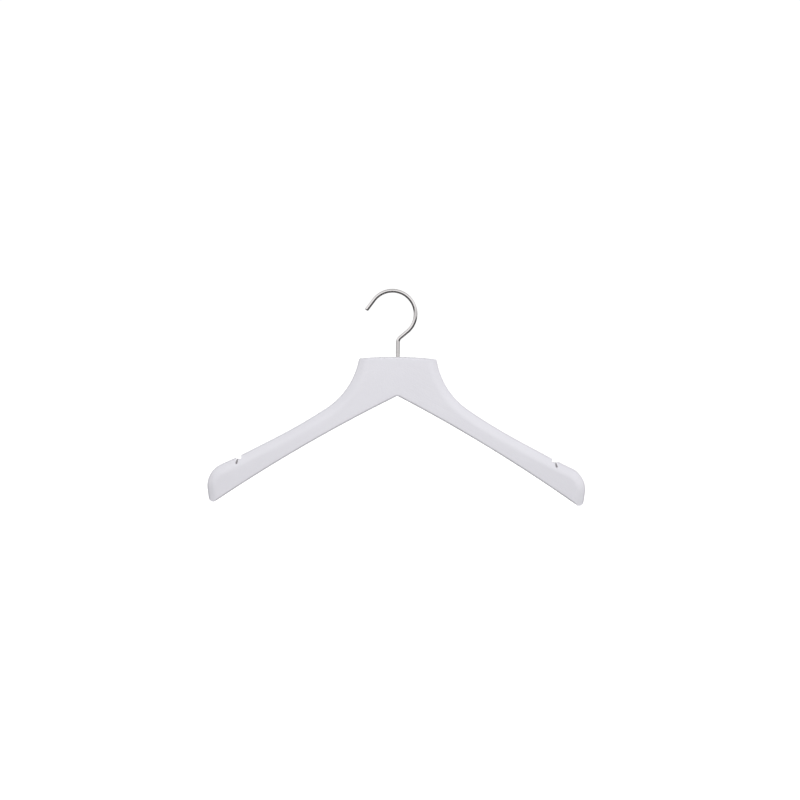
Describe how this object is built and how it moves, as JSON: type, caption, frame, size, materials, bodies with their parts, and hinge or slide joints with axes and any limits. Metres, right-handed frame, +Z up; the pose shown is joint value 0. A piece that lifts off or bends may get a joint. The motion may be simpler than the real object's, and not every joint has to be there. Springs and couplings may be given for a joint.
{
  "type": "clothes hanger",
  "caption": "Contoured white shirt hanger with strap notches and a swivel wire hook, for hanging a garment from a clothes rail.",
  "frame": {"origin": "the rail seat, the point inside the top of the hook's ring where a clothes rail bears", "axes": "+Z up, +X along the shoulders with the hook opening towards -X, -Y towards the hanger's front"},
  "size_m": [0.38, 0.0357, 0.2157],
  "materials": {
    "white_lacquer": "satin white lacquer on hardwood",
    "hook_plating": "polished nickel plating on steel wire",
    "sleeve_brass": "turned",
    "washer_steel": "stamped"
  },
  "bodies": {
    "hook": {"hook_wire": "hook_plating", "thrust_washer": "washer_steel"},
    "hanger": {"left_arm": "white_lacquer", "right_arm": "white_lacquer", "hook_sleeve": "sleeve_brass"}
  },
  "joints": [
    {"name": "hook_swivel", "type": "hinge", "parent": "hook", "child": "hanger", "pos_m": [0.006, 0, -0.0649], "axis": [0, 0, 1], "continuous": true}
  ]
}
